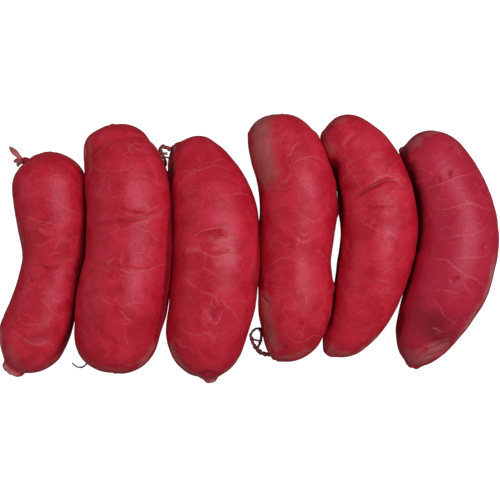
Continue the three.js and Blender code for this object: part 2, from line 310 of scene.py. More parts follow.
def casingMaterial(mottle, web):
    material, tree, shader, place = newMaterial("sausageCasing")
    feeds = {"Place": place, "Mottle Size": casing["mottleSize"], "Grain Size": casing["grainSize"]}
    meat = useGroup(tree, mottle, feeds)
    net = useGroup(tree, web, {"Place": place, "Web Size": casing["webSize"]})["Web"]
    vein, dried = attribute(tree, "vein"), attribute(tree, "dried")
    broken = ease(tree, meat["Grain"], *casing["broken"])
    speckle = ease(tree, meat["Dimples"], *casing["speckle"])
    dust = ease(tree, meat["Grain"], *casing["dusty"])
    layers = [
        (times(tree, meat["Flecks"], casing["flecks"]), "rose"),
        (times(tree, dust, casing["dust"]), "rose"),
        (attribute(tree, "dull"), "dull"),
        (times(tree, net, casing["webStrength"]), "vein"),
        (times(tree, vein, broken), "vein"),
        # painted shade in the grooves of the creases
        (times(tree, attribute(tree, "crease"), casing["creaseShadeStrength"]), "crease"),
        (times(tree, dried, speckle), "dried"),
        # painted shade, near black, in the gaps between sausages
        (times(tree, attribute(tree, "pressed"), casing["paintedShadeStrength"]), "pressed"),
        (times(tree, attribute(tree, "pale"), broken), "pale"),
    ]
    colour = blend(tree, meat["Mottle"], casing["deep"], casing["crimson"])
    for share, name in layers:
        colour = blend(tree, share, colour, casing[name])
    roughness = ease(tree, meat["Grain"], *mottles["grainy"], *casing["roughness"])
    roughness = plus(tree, roughness, times(tree, dried, casing["dryness"]))
    height = plus(tree, times(tree, meat["Grain"], casing["grainHeight"]),
                  times(tree, meat["Dimples"], casing["dimpleHeight"]))
    height = plus(tree, height, times(tree, vein, casing["veinHeight"]))
    finishSkin(tree, shader, colour, roughness, height, casing)
    feed(tree, shader, {"Subsurface Radius": casing["bleed"], "Specular IOR Level": casing["shine"],
                        "Specular Tint": casing["shineTint"]})
    return material


def driedMaterial(mottle):
    material, tree, shader, place = newMaterial("driedCasing")
    feeds = {"Place": place, "Mottle Size": driedSkin["mottleSize"], "Grain Size": driedSkin["grainSize"]}
    meat = useGroup(tree, mottle, feeds)
    colour = blend(tree, meat["Mottle"], driedSkin["dark"], driedSkin["light"])
    colour = blend(tree, attribute(tree, "papery"), colour, driedSkin["papery"])
    roughness = ease(tree, meat["Grain"], *mottles["grainy"], *driedSkin["roughness"])
    height = plus(tree, meat["Grain"], meat["Dimples"])
    finishSkin(tree, shader, colour, roughness, height, driedSkin)
    return material


# The skin's trees: marks drawn on the surface, pleats round a gather, and the skin itself

skin = {
    "merge": 0.02 * mm,
    "onPlane": 0.01 * mm,
    "rounding": 2,
    "voxel": 0.465 * mm,
    "smoothing": (0.5, 12),  # how far and how often
    "squareFaces": (0.7, 1.2),  # how far two triangles may turn or lean to be joined
    "flatBelow": (0.5 * mm, 7 * mm),  # the relief fades out where the sausage rests
    "seedStep": (0.31, 0.17, 0.23),  # metres between the noise of two sausages
    "rippleScale": 3.6,  # to the lumps'
    "valleyStart": 0.45,
    "Swell": 0.38 * mm,
    "Lump Height": 1.5 * mm,
    "Lump Size": 17 * mm,
    "Ripple Height": 0.20 * mm,
    "Vein Height": 0.06 * mm,
    "Pleats": 2.6,
    "Pleat Reach": 17 * mm,
    "Pleat Depth": 0.7 * mm,
}

fan = {"height": 3.0, "full": 0.15, "variety": 400.0, "waviness": 40.0}

marks = {
    "step": 0.8,  # millimetres between the points of a mark
    "wiggle": 0.16,
    "swayMemory": 0.8,
    "tipFade": 0.8,
    "settling": 12,
    "ragScale": 240.0,
    "ragged": {"Veins": 0.0, "Creases": 0.0, "Dried": 6.0, "Pale": 7.0, "Pressed": 1.5},
    "softness": {"Dried": 0.75, "Pale": 1.0, "Pressed": 0.75},
    "veinWidth": 0.47,
    "veinStrength": 0.72,
    "creaseWidth": 1.7,
    "strayWidth": 0.85,  # of a vein's
    "strayLength": (10, 26),
    "strayCount": 34,
    "strayLean": 0.45,  # along the sausage, to 1 across it
    "strayTurn": 0.11,
    "turnMemory": 0.75,
    "strayStrength": (0.05, 0.18),
}


def nearestMarkTree():  # how near a point is to the nearest mark, from 0 to 1, and how strong that mark is
    tree, given, result = newTree(
        "GeometryNodeTree", "nearestMark", [("Marks", "Object"), ("Ragged", "Float")],
        sockets("Float", "Nearness", "Strength"))
    drawn = put(tree, "GeometryNodeObjectInfo", {"Object": given["Marks"]}).outputs["Geometry"]
    place = outlet(tree, "GeometryNodeInputPosition")
    spot = wander(tree, place, marks["ragScale"], 3.0, given["Ragged"])
    feeds = {"Geometry": drawn, "Sample Position": spot}
    near = put(tree, "GeometryNodeProximity", feeds, target_element="EDGES")
    index = put(tree, "GeometryNodeSampleNearest", feeds).outputs["Index"]
    found = {}
    for name in ("width", "strength"):
        written = put(tree, "GeometryNodeInputNamedAttribute", {"Name": name}, data_type="FLOAT")
        feeds = {"Geometry": drawn, "Value": written.outputs["Attribute"], "Index": index}
        found[name] = put(tree, "GeometryNodeSampleIndex", feeds).outputs["Value"]
    share = calc(tree, "DIVIDE", near.outputs["Distance"], found["width"])
    nearness = outlet(tree, "ShaderNodeClamp", {"Value": calc(tree, "SUBTRACT", 1.0, share)})
    join(tree, nearness, result["Nearness"])
    join(tree, found["strength"], result["Strength"])
    return tree


def pleatFanTree():  # folds that fan out from the point where the casing is drawn together
    inputs = [("Gather", "Vector"), ("Axis", "Vector"), ("Pleats", "Float", 3.0), ("Reach", "Float", 0.02),
              ("Depth", "Float", 0.0008)]
    tree, given, result = newTree("GeometryNodeTree", "pleatFan", inputs, [("Height", "Float")])
    place = outlet(tree, "GeometryNodeInputPosition")
    away = vec(tree, "SUBTRACT", place, given["Gather"])
    along = stretch(tree, given["Axis"], vec(tree, "DOT_PRODUCT", away, given["Axis"]))
    spoke = vec(tree, "NORMALIZE", vec(tree, "SUBTRACT", away, along))
    distance = vec(tree, "LENGTH", away)
    own = stretch(tree, given["Gather"], fan["variety"])
    shifted = vec(tree, "ADD", stretch(tree, spoke, given["Pleats"]), own)
    twisted = vec(tree, "ADD", shifted, stretch(tree, away, fan["waviness"]))
    fold = times(tree, unrest(tree, twisted, 1.0), fan["height"])
    fade = ease(tree, calc(tree, "DIVIDE", distance, given["Reach"]), fan["full"], 1.0, 1.0, 0.0)
    join(tree, times(tree, times(tree, fold, fade), given["Depth"]), result["Height"])
    return tree


def store(tree, geometry, name, value):
    feeds = {"Geometry": geometry, "Name": name, "Value": value}
    return outlet(tree, "GeometryNodeStoreNamedAttribute", feeds, data_type="FLOAT", domain="POINT")


def finishTree(tree, geometry, material, result):
    smooth = outlet(tree, "GeometryNodeSetShadeSmooth", {"Geometry": geometry})
    whole = outlet(tree, "GeometryNodeRealizeInstances", {"Geometry": smooth})
    done = outlet(tree, "GeometryNodeSetMaterial", {"Geometry": whole, "Material": material})
    join(tree, done, result["Geometry"])


def linkSkinTree():
    inputs = [
        ("Geometry", "Geometry"),
        *sockets("Object", *marks["ragged"]),
        *sockets("Float", "Swell", "Lump Height", "Lump Size", "Ripple Height", "Vein Height", "Pleats",
                 "Pleat Reach", "Pleat Depth", "Seed", "Dullness"),
        *sockets("Vector", "Top Gather", "Top Axis", "Bottom Gather", "Bottom Axis"),
        ("Casing", "Material"),
    ]
    tree, given, result = newTree("GeometryNodeTree", "linkSkin", inputs, [("Geometry", "Geometry")])
    nearest, pleatFan = nearestMarkTree(), pleatFanTree()
    place = outlet(tree, "GeometryNodeInputPosition")
    normal = outlet(tree, "GeometryNodeInputNormal")
    near = {}
    for label, reach in marks["ragged"].items():
        near[label] = useGroup(tree, nearest, {"Marks": given[label], "Ragged": reach * mm})
    seeded = vec(tree, "ADD", place, stretch(tree, skin["seedStep"], given["Seed"]))
    perMetre = calc(tree, "DIVIDE", 1.0, given["Lump Size"])
    lumps = unrest(tree, seeded, perMetre, 1.5, 0.45)
    ripples = unrest(tree, seeded, times(tree, perMetre, skin["rippleScale"]))
    height = calc(tree, "MULTIPLY_ADD", lumps, given["Lump Height"], given["Swell"])
    height = calc(tree, "MULTIPLY_ADD", ripples, given["Ripple Height"], height)
    ridge = ease(tree, near["Veins"]["Nearness"], 0.0, 1.0)
    vein = times(tree, ridge, near["Veins"]["Strength"])
    height = calc(tree, "MULTIPLY_ADD", vein, given["Vein Height"], height)
    depth = times(tree, near["Creases"]["Strength"], mm)
    valley = ease(tree, near["Creases"]["Nearness"], skin["valleyStart"], 1.0)
    slope = ease(tree, near["Creases"]["Nearness"], 0.0, 1.0)
    profile = times(tree, plus(tree, slope, valley), -0.5)
    height = calc(tree, "MULTIPLY_ADD", profile, depth, height)
    for end in ("Top", "Bottom"):
        feeds = {"Gather": given[end + " Gather"], "Axis": given[end + " Axis"], "Pleats": given["Pleats"],
                 "Reach": given["Pleat Reach"], "Depth": given["Pleat Depth"]}
        height = plus(tree, height, useGroup(tree, pleatFan, feeds)["Height"])
    level = put(tree, "ShaderNodeSeparateXYZ", {0: place}).outputs["Z"]
    height = times(tree, height, ease(tree, level, *skin["flatBelow"]))
    # painted shade: the deeper part of a crease's groove also darkens its colour
    creaseShade = times(tree, valley, near["Creases"]["Strength"])
    written = {"vein": vein, "crease": creaseShade, "dull": given["Dullness"]}
    # dried and pale patches are the casing's own colour; the third set is painted shade between neighbouring
    # sausages
    for label, full in marks["softness"].items():
        soft = ease(tree, near[label]["Nearness"], 0.0, full)
        written[label.lower()] = times(tree, soft, near[label]["Strength"])
    flesh = given["Geometry"]
    for name, value in written.items():  # stored before the surface moves
        flesh = store(tree, flesh, name, value)
    feeds = {"Geometry": flesh, "Offset": stretch(tree, normal, height)}
    flesh = outlet(tree, "GeometryNodeSetPosition", feeds)
    finishTree(tree, flesh, given["Casing"], result)
    return tree


# Marks on the skin, in millimetres from the middle of the view. A row has the strength of a vein, or the
# half-width and strength of any other mark, and then x and y of each place that the mark goes through.
# A crease's strength is its depth in millimetres, below zero for a bulge, and it also sets how much shade is
# painted into the groove. The dark patches listed last are painted shade, laid where neighbouring sausages
# shade each other.

firstLink = {
    "node": "link_1",
    "top": (-96.8, 46.8, 15, -0.1, 1),  # where the casing is gathered, and which way it points
    "bottom": (-114.8, -59.6, 13, -0.55, -0.83),
    "seed": 1.0,
    "knot": ((-105.3, 40.7, 17), (-0.72, 0.69, 0)),  # the knot lies outside this plane
    "veins": [
        (0.6, -106, 16, -103, 15, -99.5, 13.5, -95.5, 13, -91.5, 11.5, -88.5, 12.5),
        (0.7, -96, 24, -91.5, 23.5, -90, 22.5, -87.5, 20, -84.5, 18.5, -80.5, 17),
        (0.45, -101.5, 26, -98.5, 28, -98, 29.5), (0.35, -101, 26, -98.5, 25.5, -95.5, 24.5),
        (0.6, -90.5, 9, -89.5, 6.5, -90, 4, -91.5, 0.5), (0.6, -94.5, -2.5, -92, -1.5, -89.5, -2),
        (0.45, -104, 34.5, -102.5, 36, -100.5, 37), (0.45, -94.5, 34, -91.5, 35, -88.5, 35.5),
        (0.35, -92, 39, -93, 37, -94, 35), (0.8, -99, -23, -97, -24.5, -94.5, -27.5),
        (0.5, -94.5, -28, -90.5, -30.5, -87.5, -31.5),
        (0.55, -107, -34, -105, -35, -101.5, -35, -98, -34.5),
        (0.65, -112, -37, -109.5, -39.5, -106, -42.5, -103, -44, -99.5, -45, -96.5, -44, -94, -42.5),
        (0.35, -100.5, -52, -99, -49), (0.45, -99, -20.5, -95, -20, -92.5, -19),
        (0.5, -98, -5.5, -95.5, -7, -92.5, -8), (0.4, -108, -16.5, -104.5, -18, -102.5, -19.5),
        (0.35, -106, 31.5, -106.5, 28, -107.5, 24),
    ],
    "creases": [
        (1.3, 0.8, -98.5, -5.5, -97.5, -7.5, -95, -8.5, -92, -8.5, -89.5, -8),
        (1.4, 0.4, -104.5, -9.5, -103.5, -12, -101.5, -15),
        (4.5, 0.5, -105.5, -41.5, -98.5, -42, -94, -40.5),
    ],
    "dried": [
        (3, 0.45, -110.5, 33, -111.5, 26, -110.5, 18, -108.5, 11.5, -107, 4.5, -106.5, -5.5),
        (3.6, 0.5, -89.5, 45, -83.5, 42, -79, 36.5), (5, 0.35, -112, -48, -110, -53.5, -103.5, -57.5),
        (3, 0.3, -98.5, -56, -92, -51.5, -86.5, -45.5, -83, -40),
    ],
    "pale": [
        (3.4, 0.75, -117, -38.5, -116.5, -43, -116, -47),
        (3.6, 0.9, -114.5, -54.5, -113.5, -56.5, -110.5, -58.5),
    ],
    # painted shade along the gap beside link 2
    "pressed": [
        (4, 0.6, -77, 30.5, -77.5, 19, -78.5, 7, -79, -4),
        (4.2, 0.7, -80, -5.5, -81.5, -19, -83, -29, -85.5, -38.5, -89.5, -47),
    ],
}
secondLink = {
    "node": "link_2",
    "top": (-65.3, 60, 14, -0.15, 1),
    "bottom": (-65, -58.4, 17, -0.1, -1),
    "seed": 2.0,
    "veins": [
        (0.6, -74.5, 42.5, -72, 44.5, -69, 47.5, -66, 50, -62, 51),
        (0.8, -59, 50, -56, 49, -52.5, 47, -48, 45), (0.5, -74.5, 39.5, -70.5, 37.5, -66.5, 37),
        (0.4, -66.5, 37, -62, 37, -57.5, 38, -54.5, 41),
        (0.5, -52.5, 35.5, -49, 34.5, -45.5, 33, -43, 31, -39.5, 29),
        (0.35, -59, 28.5, -57, 30.5, -55, 32.5), (0.45, -72.5, 23.5, -71.5, 26.5, -69.5, 29),
        (0.4, -65, 23.5, -62.5, 25.5, -60, 25.5), (0.6, -59, 21.5, -56.5, 19.5, -55, 18),
        (0.6, -59, 13.5, -57, 14.5, -53.5, 15.5, -50, 15.5, -46, 16.5, -42.5, 18.5),
        (0.8, -54, 11, -50.5, 9, -47, 8, -44.5, 5.5, -42, 4), (0.6, -57, 1.5, -55, 4, -52.5, 6),
        (0.4, -60.5, -2.5, -59, 0.5), (0.7, -67.5, -5.5, -66, -6, -64.5, -4.5, -63.5, -3.5),
        (0.75, -65, -7.5, -60.5, -9, -56.5, -10, -51.5, -10, -47.5, -9.5, -44.5, -8, -42, -7, -39, -6.5),
        (0.5, -50, -10.5, -47.5, -12, -45.5, -14.5), (0.55, -71, -20, -69, -23, -65, -26),
        (0.7, -56, -18.5, -55.5, -21.5, -55.5, -25.5),
        (0.45, -61, -27, -58.5, -26, -55.5, -25, -51.5, -25, -48.5, -25),
        (0.8, -61.5, -28, -59.5, -30, -58, -32, -55, -34), (0.6, -60.5, -34, -58, -34.5, -55, -33.5),
        (0.4, -58.5, -38, -59, -40.5, -58, -43, -57, -45),
        (0.5, -65, -46.5, -66.5, -48.5, -68, -50, -71, -51.5),
        (0.4, -79.5, -35, -77.5, -38.5, -75.5, -41),
        (0.4, -59, 53.5, -56.5, 54.5, -52.5, 53.5, -49, 52.5),
    ],
    "creases": [
        (1.3, 0.75, -74.5, 12, -68.5, 12.5, -61.5, 13.5, -55, 14.5, -49, 15.5, -43.5, 17.5),
        (1.2, 0.6, -61.5, 19.5, -58, 18.5, -53.5, 17, -48.5, 17),
        (1.2, 0.3, -76, -5.5, -68.5, -6.5, -60.5, -7.5, -51.5, -9.5, -44, -8),
        (4, 0.6, -68, -20, -64.5, -19.5, -60, -18.5), (1.5, 0.35, -61, -6, -57, -4),
        (4.5, 0.4, -76, -24.5, -75, -29, -77, -34), (2.6, -0.6, -39, 37.5, -38, 32),
        (3, -0.5, -37, 7, -37.5, -4.5, -38.5, -19.5),
    ],
    "dried": [
        (2.4, 0.45, -75.5, 54.5, -75, 47, -75, 37.5),
        (3.2, 0.4, -80, -47, -77, -51.5, -72.5, -54.5, -66, -56, -59, -56.5),
        (2.6, 0.4, -52.5, -52.5, -48, -48, -45.5, -44),
    ],
    "pale": [
        (2, 0.8, -77, 51.5, -77, 46, -77.5, 39.5), (3.2, 0.4, -51.5, -53.5, -48.5, -50, -46, -46),
    ],
    # painted shade in the gaps beside the neighbouring sausages
    "pressed": [
        (2.8, 0.38, -76, 30.5, -76.5, 12, -77.5, -4, -80, -16.5),
        (2.8, 0.5, -37.5, 26, -38.5, 4.5, -39.5, -14, -41.5, -28, -44.5, -41.5),
    ],
}
thirdLink = {
    "node": "link_3",
    "top": (-37.6, 51, 13.5, -0.72, 0.7),
    "bottom": (-19, -64, 13, 0, -1),
    "seed": 3.0,
    "veins": [
        (0.7, -32.5, 32, -29.5, 34.5, -27.5, 35.5, -25, 37, -21.5, 38, -18, 39.5, -14.5, 39.5, -11.5, 38,
         -8, 37),
        (0.4, -8, 36.5, -5.5, 35, -4, 33), (0.45, -17.5, 40, -16, 42, -12.5, 43),
        (0.35, -24.5, 42, -23.5, 44.5), (0.35, -21.5, 47.5, -19.5, 48.5, -17.5, 47.5),
        (0.65, -13.5, 26, -10.5, 25.5, -7.5, 26, -4.5, 26.5, -1.5, 25.5, 0.5, 23.5),
        (0.4, -27.5, 27.5, -25.5, 28, -22, 28), (0.45, -27.5, 19.5, -25.5, 21),
        (0.4, -32.5, 16.5, -31, 19),
        (0.85, -27.5, 5.5, -24.5, 7.5, -22, 9, -19.5, 9.5, -16, 10, -12.5, 10.5, -10, 10, -7, 9),
        (0.45, -26.5, 5.5, -23.5, 4), (0.75, -16.5, 3, -14, 4.5, -11.5, 4.5),
        (0.75, -16, 0.5, -13, 2, -10, 1, -6.5, 0.5),
        (0.7, -28.5, 1.5, -26.5, 0.5, -23.5, 0, -21, -2, -18, -3, -14.5, -3.5, -11.5, -2, -8, -2.5,
         -4, -3.5),
        (0.4, -8, -5.5, -6.5, -8.5, -3.5, -12), (0.6, -30, -13.5, -27.5, -16, -24.5, -18),
        (0.7, -23, -19.5, -20, -20.5, -17.5, -21.5, -15.5, -23.5, -14, -26.5),
        (0.7, -13.5, -23, -12, -25.5, -10, -27.5), (0.5, -23, -25.5, -21, -29, -19.5, -31.5, -17, -34.5),
        (1, -13.5, -28.5, -14, -31, -15.5, -34, -18, -35.5),
        (0.4, -25.5, -30, -27.5, -32.5, -29.5, -34.5),
        (0.6, -34, -36, -31, -38, -27.5, -39.5, -24, -40, -20.5, -39.5, -18, -40.5, -15.5, -42.5),
        (0.35, -13.5, -39.5, -10, -37.5), (0.45, -9, -27, -7, -30.5, -4, -35),
        (0.35, -12, -23.5, -6.5, -24, -1, -24), (0.35, 0, -5.5, 2, -9.5, 2, -13),
    ],
    "creases": [
        (1.1, 0.5, -21.5, -1, -18, -2, -13.5, -1, -9.5, 0),
        (1.1, 0.4, -18.5, 5.5, -14.5, 6.5, -10.5, 5.5), (1.6, 0.5, -23, 7, -19, 8, -14, 8),
        (2.8, 0.9, -18.5, -26.5, -17.5, -29.5, -17, -33),
        (2, 0.9, -37, -44.5, -35, -49.5, -32, -53, -29, -56.5),
        (2.2, 0.8, -25.5, -59.5, -20.5, -57.5, -16, -58), (2.6, -0.7, -37.5, 37, -37, 33),
        (3, -0.6, -36, 7, -37, -4.5, -37.5, -21), (3, -0.6, 2.5, 13, 2.5, -2.5, 1, -19.5),
    ],
    "dried": [
        (3.6, 0.95, -37, 47.5, -36.5, 43, -36.5, 38.5), (4.2, 0.75, -36.5, -45, -35, -50.5, -31.5, -54.5),
        (4, 0.75, -28, -57.5, -22.5, -60, -18, -61), (2.6, 0.5, -13, -57.5, -8.5, -53.5, -5, -49),
    ],
    "pale": [
        (1.5, 0.6, -35.5, -47, -33, -51.5, -29.5, -56), (3.2, 0.45, -11.5, -57, -7.5, -53, -5, -50),
        (2, 0.8, -19.5, -62, -17, -61.5, -14.5, -59.5), (3.4, 0.24, -16.5, 4, -13, 4.5, -10, 4),
        (3, 0.24, -16, 1, -12, 1, -9.5, 0.5), (4.6, 0.22, -14.5, -5.5, -12, -4, -8.5, -4.5),
        (2.8, 0.2, -28, 0, -25, 0.5),
    ],
    # painted shade in the gaps beside the neighbouring sausages
    "pressed": [
        (2.6, 0.8, -36.5, 47, -36.5, 42.5), (3.4, 0.95, -36.5, 40.5, -36.5, 35, -36.5, 28),
        (3, 0.45, -35, 30.5, -35.5, 14, -37, 0, -38, -12, -38.5, -23.5),
        (2.6, 0.4, 3, 21, 3.5, 2.5, 1, -14),
    ],
}
fourthLink = {
    "node": "link_4",
    "top": (14, 65, 15, -0.1, 1),
    "bottom": (11.2, -53.6, 13, -0.45, -0.9),
    "seed": 4.0,
    "veins": [
        (0.35, 11.5, 50, 13.5, 52, 15.5, 53.5), (0.8, 17, 43.5, 19, 45.5, 20.5, 48.5, 23, 51),
        (0.5, 23.5, 52.5, 21.5, 54.5, 19, 55.5),
        (0.7, 18, 39, 20, 40.5, 23, 42.5, 26, 43.5, 28.5, 44, 31.5, 43, 33.5, 42, 35, 40),
        (0.5, 20.5, 31.5, 24.5, 33, 28, 34), (0.6, 35, 22.5, 36.5, 19.5, 38.5, 16),
        (0.8, 23, 8.5, 25, 6.5, 26.5, 7, 27.5, 9),
        (0.6, 8.5, -8, 11.5, -5.5, 14.5, -4, 17, -3.5, 20, -3.5), (0.55, 19.5, -4, 21.5, -5.5, 24, -7.5),
        (0.35, 17, 1.5, 19, 4), (0.7, 30, -0.5, 32.5, -0.5, 35, -4, 37, -7),
        (0.4, 36, -9.5, 36, -14, 35, -18, 31.5, -19.5),
        (0.5, 38.5, -19.5, 35.5, -21, 35.5, -24.5, 36.5, -28), (0.7, 24, -17.5, 26, -18.5),
        (0.6, 25, -19.5, 26.5, -21.5, 26.5, -25.5),
        (0.65, 16, -38, 19, -41, 22, -43, 25.5, -42.5, 28, -40.5, 31, -40, 33.5, -41.5),
        (0.35, 31, -36.5, 33, -34, 35, -31), (0.4, 15, -33, 17.5, -35.5),
        (0.5, 8.5, -36.5, 10.5, -40, 12, -44), (0.4, 6.5, -19.5, 10.5, -25, 13, -29),
        (0.5, 5, 35, 7, 36.5, 12, 36.5), (0.4, 16, 9, 17, 11.5), (0.35, 37.5, 4.5, 35, 2),
        (0.35, 8, 62, 7.5, 58.5, 8.5, 51.5, 9.5, 47),
    ],
    "creases": [
        (1.2, 0.35, 21.5, 7, 25, 4.5, 28, 6), (1, 0.6, 15.5, -46.5, 17.5, -44.5),
        (1.2, 0.7, 5.5, -20.5, 8, -23.5, 10, -25.5), (3, -0.8, 39.5, -14.5, 38.5, -19),
        (3, -0.6, 4, 15, 4, -2.5, 4, -20), (3, -0.7, 41.5, 22, 41.5, 15), (2.6, -0.6, 40, 34.5, 41, 27.5),
        (2.6, 0.5, 0, 57.5, 3.5, 54.5, 7.5, 55),
    ],
    "dried": [
        (11.5, 0.85, 3.5, 59, 4, 51.5, 5, 44, 6.5, 37), (6, 0.6, 7, -23.5, 8, -30, 9, -37.5, 11, -44),
        (2.8, 0.55, 5.5, -48, 12, -50, 19.5, -50, 27.5, -47), (2.2, 0.7, -1, 55.5, 0, 53.5),
    ],
    "pale": [
        (0.9, 0.3, 8, 61.5, 7.5, 57.5, 8.5, 51.5, 9.5, 46),
        (1.5, 0.5, 7.5, -36.5, 9.5, -40.5, 10.5, -43.5),
    ],
    # painted shade in the gaps beside the neighbouring sausages
    "pressed": [
        (3.2, 0.45, 5.5, 30.5, 5, 14, 5, 0, 6, -16.5), (3, 0.5, 40, 47, 41.5, 30.5, 41.5, 21),
    ],
}
fifthLink = {
    "node": "link_5",
    "top": (32.2, 56, 14, -0.8, 0.6),
    "bottom": (35.4, -51, 10, -0.7, -0.7),
    "seed": 5.0,
    "veins": [
        (0.9, 59, 34.5, 61, 34.5, 63.5, 35, 65.5, 36.5, 66, 39.5),
        (0.6, 65.5, 36, 68.5, 35.5, 71.5, 34, 73, 32.5, 74.5, 30.5),
        (0.7, 54, 28, 56.5, 30, 59, 31, 61, 32), (0.45, 50, 25, 52, 27), (0.55, 52, 19.5, 56.5, 20),
        (0.6, 61.5, 21.5, 64, 20.5, 67, 19.5), (0.7, 53, 13, 55.5, 11.5, 58.5, 9.5, 61.5, 8),
        (0.9, 63.5, 8.5, 66.5, 7.5, 69, 5), (0.6, 66.5, 27, 68.5, 28), (0.4, 63, 23.5, 66, 26.5),
        (0.35, 71.5, 20.5, 75, 23), (0.4, 71, 17.5, 73.5, 16, 75.5, 17), (0.35, 73, 15, 74.5, 10),
        (0.45, 69.5, 0, 70.5, -4, 74.5, -1.5), (0.5, 61, -12.5, 64, -10, 66.5, -8.5, 70, -7),
        (0.6, 58.5, -14, 63, -15, 65.5, -15.5), (0.45, 60.5, -33, 63.5, -31.5, 65, -29),
        (0.35, 56, -36.5, 54.5, -40, 52.5, -43), (0.4, 54.5, 35.5, 52.5, 32.5),
        (0.45, 48.5, 17, 51, 18, 52.5, 19.5), (0.45, 56.5, 57, 60.5, 54.5),
        (0.3, 42, -22.5, 43, -26.5, 43, -32), (0.35, 49.5, -19.5, 50.5, -23),
        (0.35, 66.5, 43, 67.5, 40, 70.5, 42.5),
    ],
    "creases": [
        (1.35, 1.25, 49, 24.5, 52, 26.5, 55.5, 29, 58.5, 30.5, 61.5, 32, 65.5, 33, 69.5, 32.5),
        (1.2, 0.6, 52, 19, 57.5, 19.5, 62.5, 19.5, 68, 19.5), (1.6, 0.4, 44.5, 47.5, 46, 51, 50, 54.5),
    ],
    "dried": [
        (4.2, 0.55, 35, 54.5, 35.5, 51, 38, 47), (5, 0.5, 36.5, -45.5, 40.5, -49, 46, -49),
        (2.6, 0.45, 37.5, 58.5, 44.5, 61), (2.4, 0.5, 50, -48, 56.5, -43.5, 61, -39.5),
    ],
    "pale": [
        (3.4, 0.5, 51, -48, 55.5, -44.5, 59, -41.5),
    ],
    # painted shade in the gap beside link 4
    "pressed": [
        (4.6, 1, 40, 40.5, 41.5, 32, 43, 23.5, 43.5, 13),
        (3.6, 0.9, 43, 10.5, 42.5, 0, 40, -12, 37, -23.5, 35.5, -35),
    ],
}
sixthLink = {
    "node": "link_6",
    "top": (69.2, 48.6, 14, -0.85, 0.5),
    "bottom": (77, -57.6, 9, -0.3, -0.95),
    "seed": 6.0,
    "dull": 0.5,  # a duller, drier casing than the others
    "veins": [
        (0.75, 82.5, 28.5, 86, 30, 89.5, 31, 92.5, 32, 95.5, 33.5, 98, 34.5, 101, 35, 104.5, 35.5,
         107, 34.5),
        (0.7, 84.5, 37, 86, 35), (0.45, 88, 38.5, 90, 41.5, 93.5, 43), (0.5, 89.5, 35, 90, 37, 92.5, 38),
        (0.75, 87, 19.5, 90.5, 19, 94, 19.5, 97.5, 20.5, 100.5, 21.5, 104.5, 21.5, 107.5, 20.5, 110.5, 19.5,
         113.5, 18.5),
        (0.7, 90, 6, 94, 6, 98, 6.5, 101, 7, 105, 7.5, 108, 8.5, 110, 10, 112, 12.5),
        (0.85, 85.5, -4, 89.5, -4.5, 92.5, -5, 95.5, -8, 98, -10, 101.5, -12.5, 105, -13.5, 108, -16,
         111, -19),
        (0.75, 96.5, -4, 100, -4, 104, -3.5, 107.5, -3.5, 110.5, -3, 112.5, -0.5),
        (0.6, 86.5, -19, 90, -18.5, 94, -20, 97.5, -21), (0.7, 100, -15, 102, -18, 104, -20.5),
        (0.8, 85.5, -22.5, 88, -25.5, 90, -28, 90.5, -30.5, 93.5, -32.5, 97, -35),
        (0.5, 96, -41, 97.5, -37.5), (0.5, 77, -52.5, 82, -49, 87.5, -44.5),
        (0.45, 75.5, -50.5, 80, -47, 84.5, -43), (0.5, 80, -52.5, 85.5, -49, 92, -44.5),
        (0.4, 72.5, -48, 77.5, -47, 82.5, -46.5), (0.5, 87.5, -43, 91, -43, 93.5, -45.5),
        (0.6, 100, 25, 102.5, 22.5, 106, 22), (0.35, 91, 50, 95, 50.5, 99, 50),
        (0.5, 73.5, 48, 75, 50.5, 77.5, 52, 81.5, 54), (0.4, 107.5, 25.5, 111, 24, 113.5, 22),
        (0.35, 90.5, 18, 92.5, 15.5), (0.4, 107, 35, 108.5, 33),
    ],
    "creases": [
        (2.6, 0.8, 93, 36.5, 95, 36), (2.6, 0.8, 110, 28, 111, 26), (2.2, 0.8, 109.5, 2, 110.5, 0.5),
        (9, 0.9, 82, -33, 86.5, -36, 91, -39), (2.4, 0.25, 86.5, -37.5, 89, -38.5, 91, -40.5),
        (1.2, 0.7, 94.5, -15, 96.5, -13.5, 98.5, -13), (1.2, 0.6, 82.5, -47.5, 87.5, -45.5, 92, -43),
        (1.2, 0.6, 82, -45, 86.5, -43, 90, -41), (1.2, 0.6, 82.5, -50.5, 88.5, -48.5, 94, -45),
        (1.5, 0.4, 87.5, 32, 90, 33),
    ],
    "dried": [
        (5, 0.8, 71, 47.5, 74.5, 48, 78, 51), (6, 0.7, 77, -52, 82, -50.5, 87.5, -47, 91, -44.5),
        (3, 0.55, 82.5, 54, 89.5, 55), (4, 0.4, 72.5, -48, 76, -49.5, 80, -48.5),
        (4, 0.5, 114.5, -5.5, 113.5, -12, 111, -19), (2.6, 0.45, 107, -26, 102.5, -34, 97, -41.5),
    ],
    "pale": [
        (3, 0.38, 114, -7.5, 113, -14, 110.5, -20.5, 108, -26),
        (2.6, 0.35, 106, -28.5, 103.5, -33.5, 98.5, -40),
    ],
    # painted shade along the gap beside link 5 and over the dent near the lower end
    "pressed": [
        (4.4, 0.8, 72.5, 46, 74.5, 36.5), (8, 1, 73.5, 40.5, 77, 30.5, 79, 21, 80, 9.5, 79, 1),
        (5.6, 0.9, 78, -3, 75.5, -12, 72.5, -22.5), (9, 0.5, 83, -36, 88, -38.5, 92.5, -40),
        (13, 0.3, 77, -32, 83.5, -35, 91, -38.5), (3.6, 0.6, 72, -30.5, 70, -40),
    ],
}
sausages = [firstLink, secondLink, thirdLink, fourthLink, fifthLink, sixthLink]


def placesIn(numbers, size):  # a flat row of numbers as places
    return list(zip(*(numbers[i::size] for i in range(size))))


